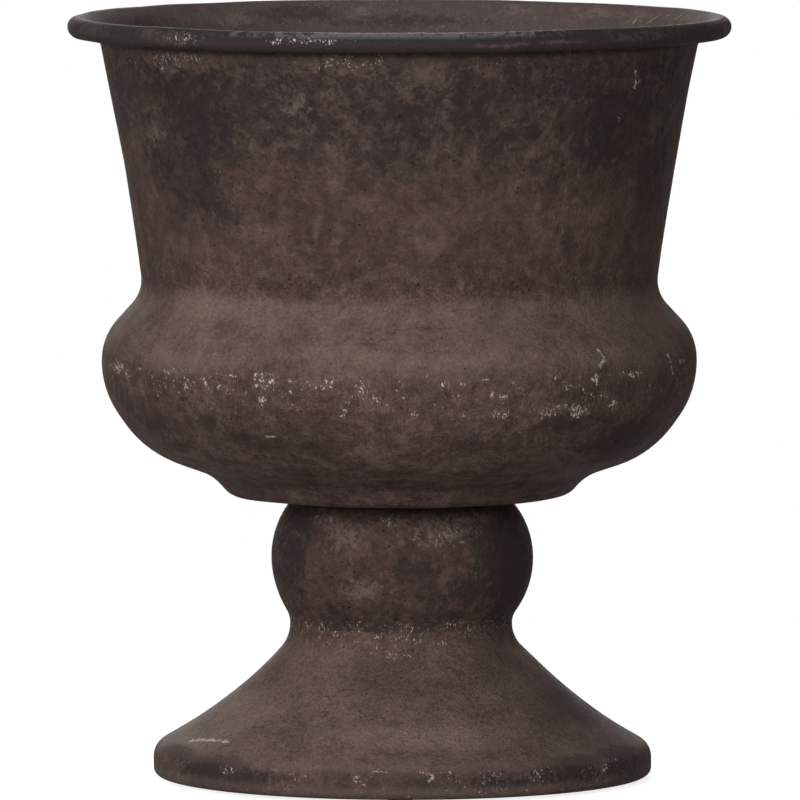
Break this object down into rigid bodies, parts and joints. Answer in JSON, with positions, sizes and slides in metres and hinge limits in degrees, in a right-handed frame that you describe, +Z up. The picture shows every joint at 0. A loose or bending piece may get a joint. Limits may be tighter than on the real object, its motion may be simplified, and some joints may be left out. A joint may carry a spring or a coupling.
{
  "type": "urn planter",
  "caption": "Urn planter of spun sheet steel: flared collar with a rolled rim, round belly, knop stem and flared foot, with a rubber bung in the drain hole of the bowl's floor.",
  "frame": {"origin": "on the floor, under the middle of the foot", "axes": "+Z up along the axis that the shells are turned about, -Y towards the drain hole, +X along the strap inside the knop"},
  "size_m": [0.3, 0.3, 0.3455],
  "materials": {
    "antiqued_steel": "matt mottled brown patina with worn pale flecks",
    "zinc_plated_steel": "dull zinc plating",
    "black_rubber": "matt moulded rubber",
    "dark_felt": "pressed felt"
  },
  "bodies": {
    "planter": {"collar_shell": "antiqued_steel", "rim_wire": "zinc_plated_steel", "girth_band": "antiqued_steel", "belly_shell": "antiqued_steel", "knop_shell": "antiqued_steel", "neck_band": "antiqued_steel", "foot_shell": "antiqued_steel", "clamp_bolt": "zinc_plated_steel", "bolt_washer": "zinc_plated_steel", "sealing_washer": "black_rubber", "clamp_strap": "zinc_plated_steel", "spring_washer": "zinc_plated_steel", "hex_nut": "zinc_plated_steel", "felt_pads": "dark_felt"},
    "bung": {"drain_bung": "black_rubber"}
  },
  "joints": [
    {"name": "bung_lift", "type": "slide", "parent": "planter", "child": "bung", "axis": [0, 0, 1], "range_m": [0, 0.23]}
  ]
}
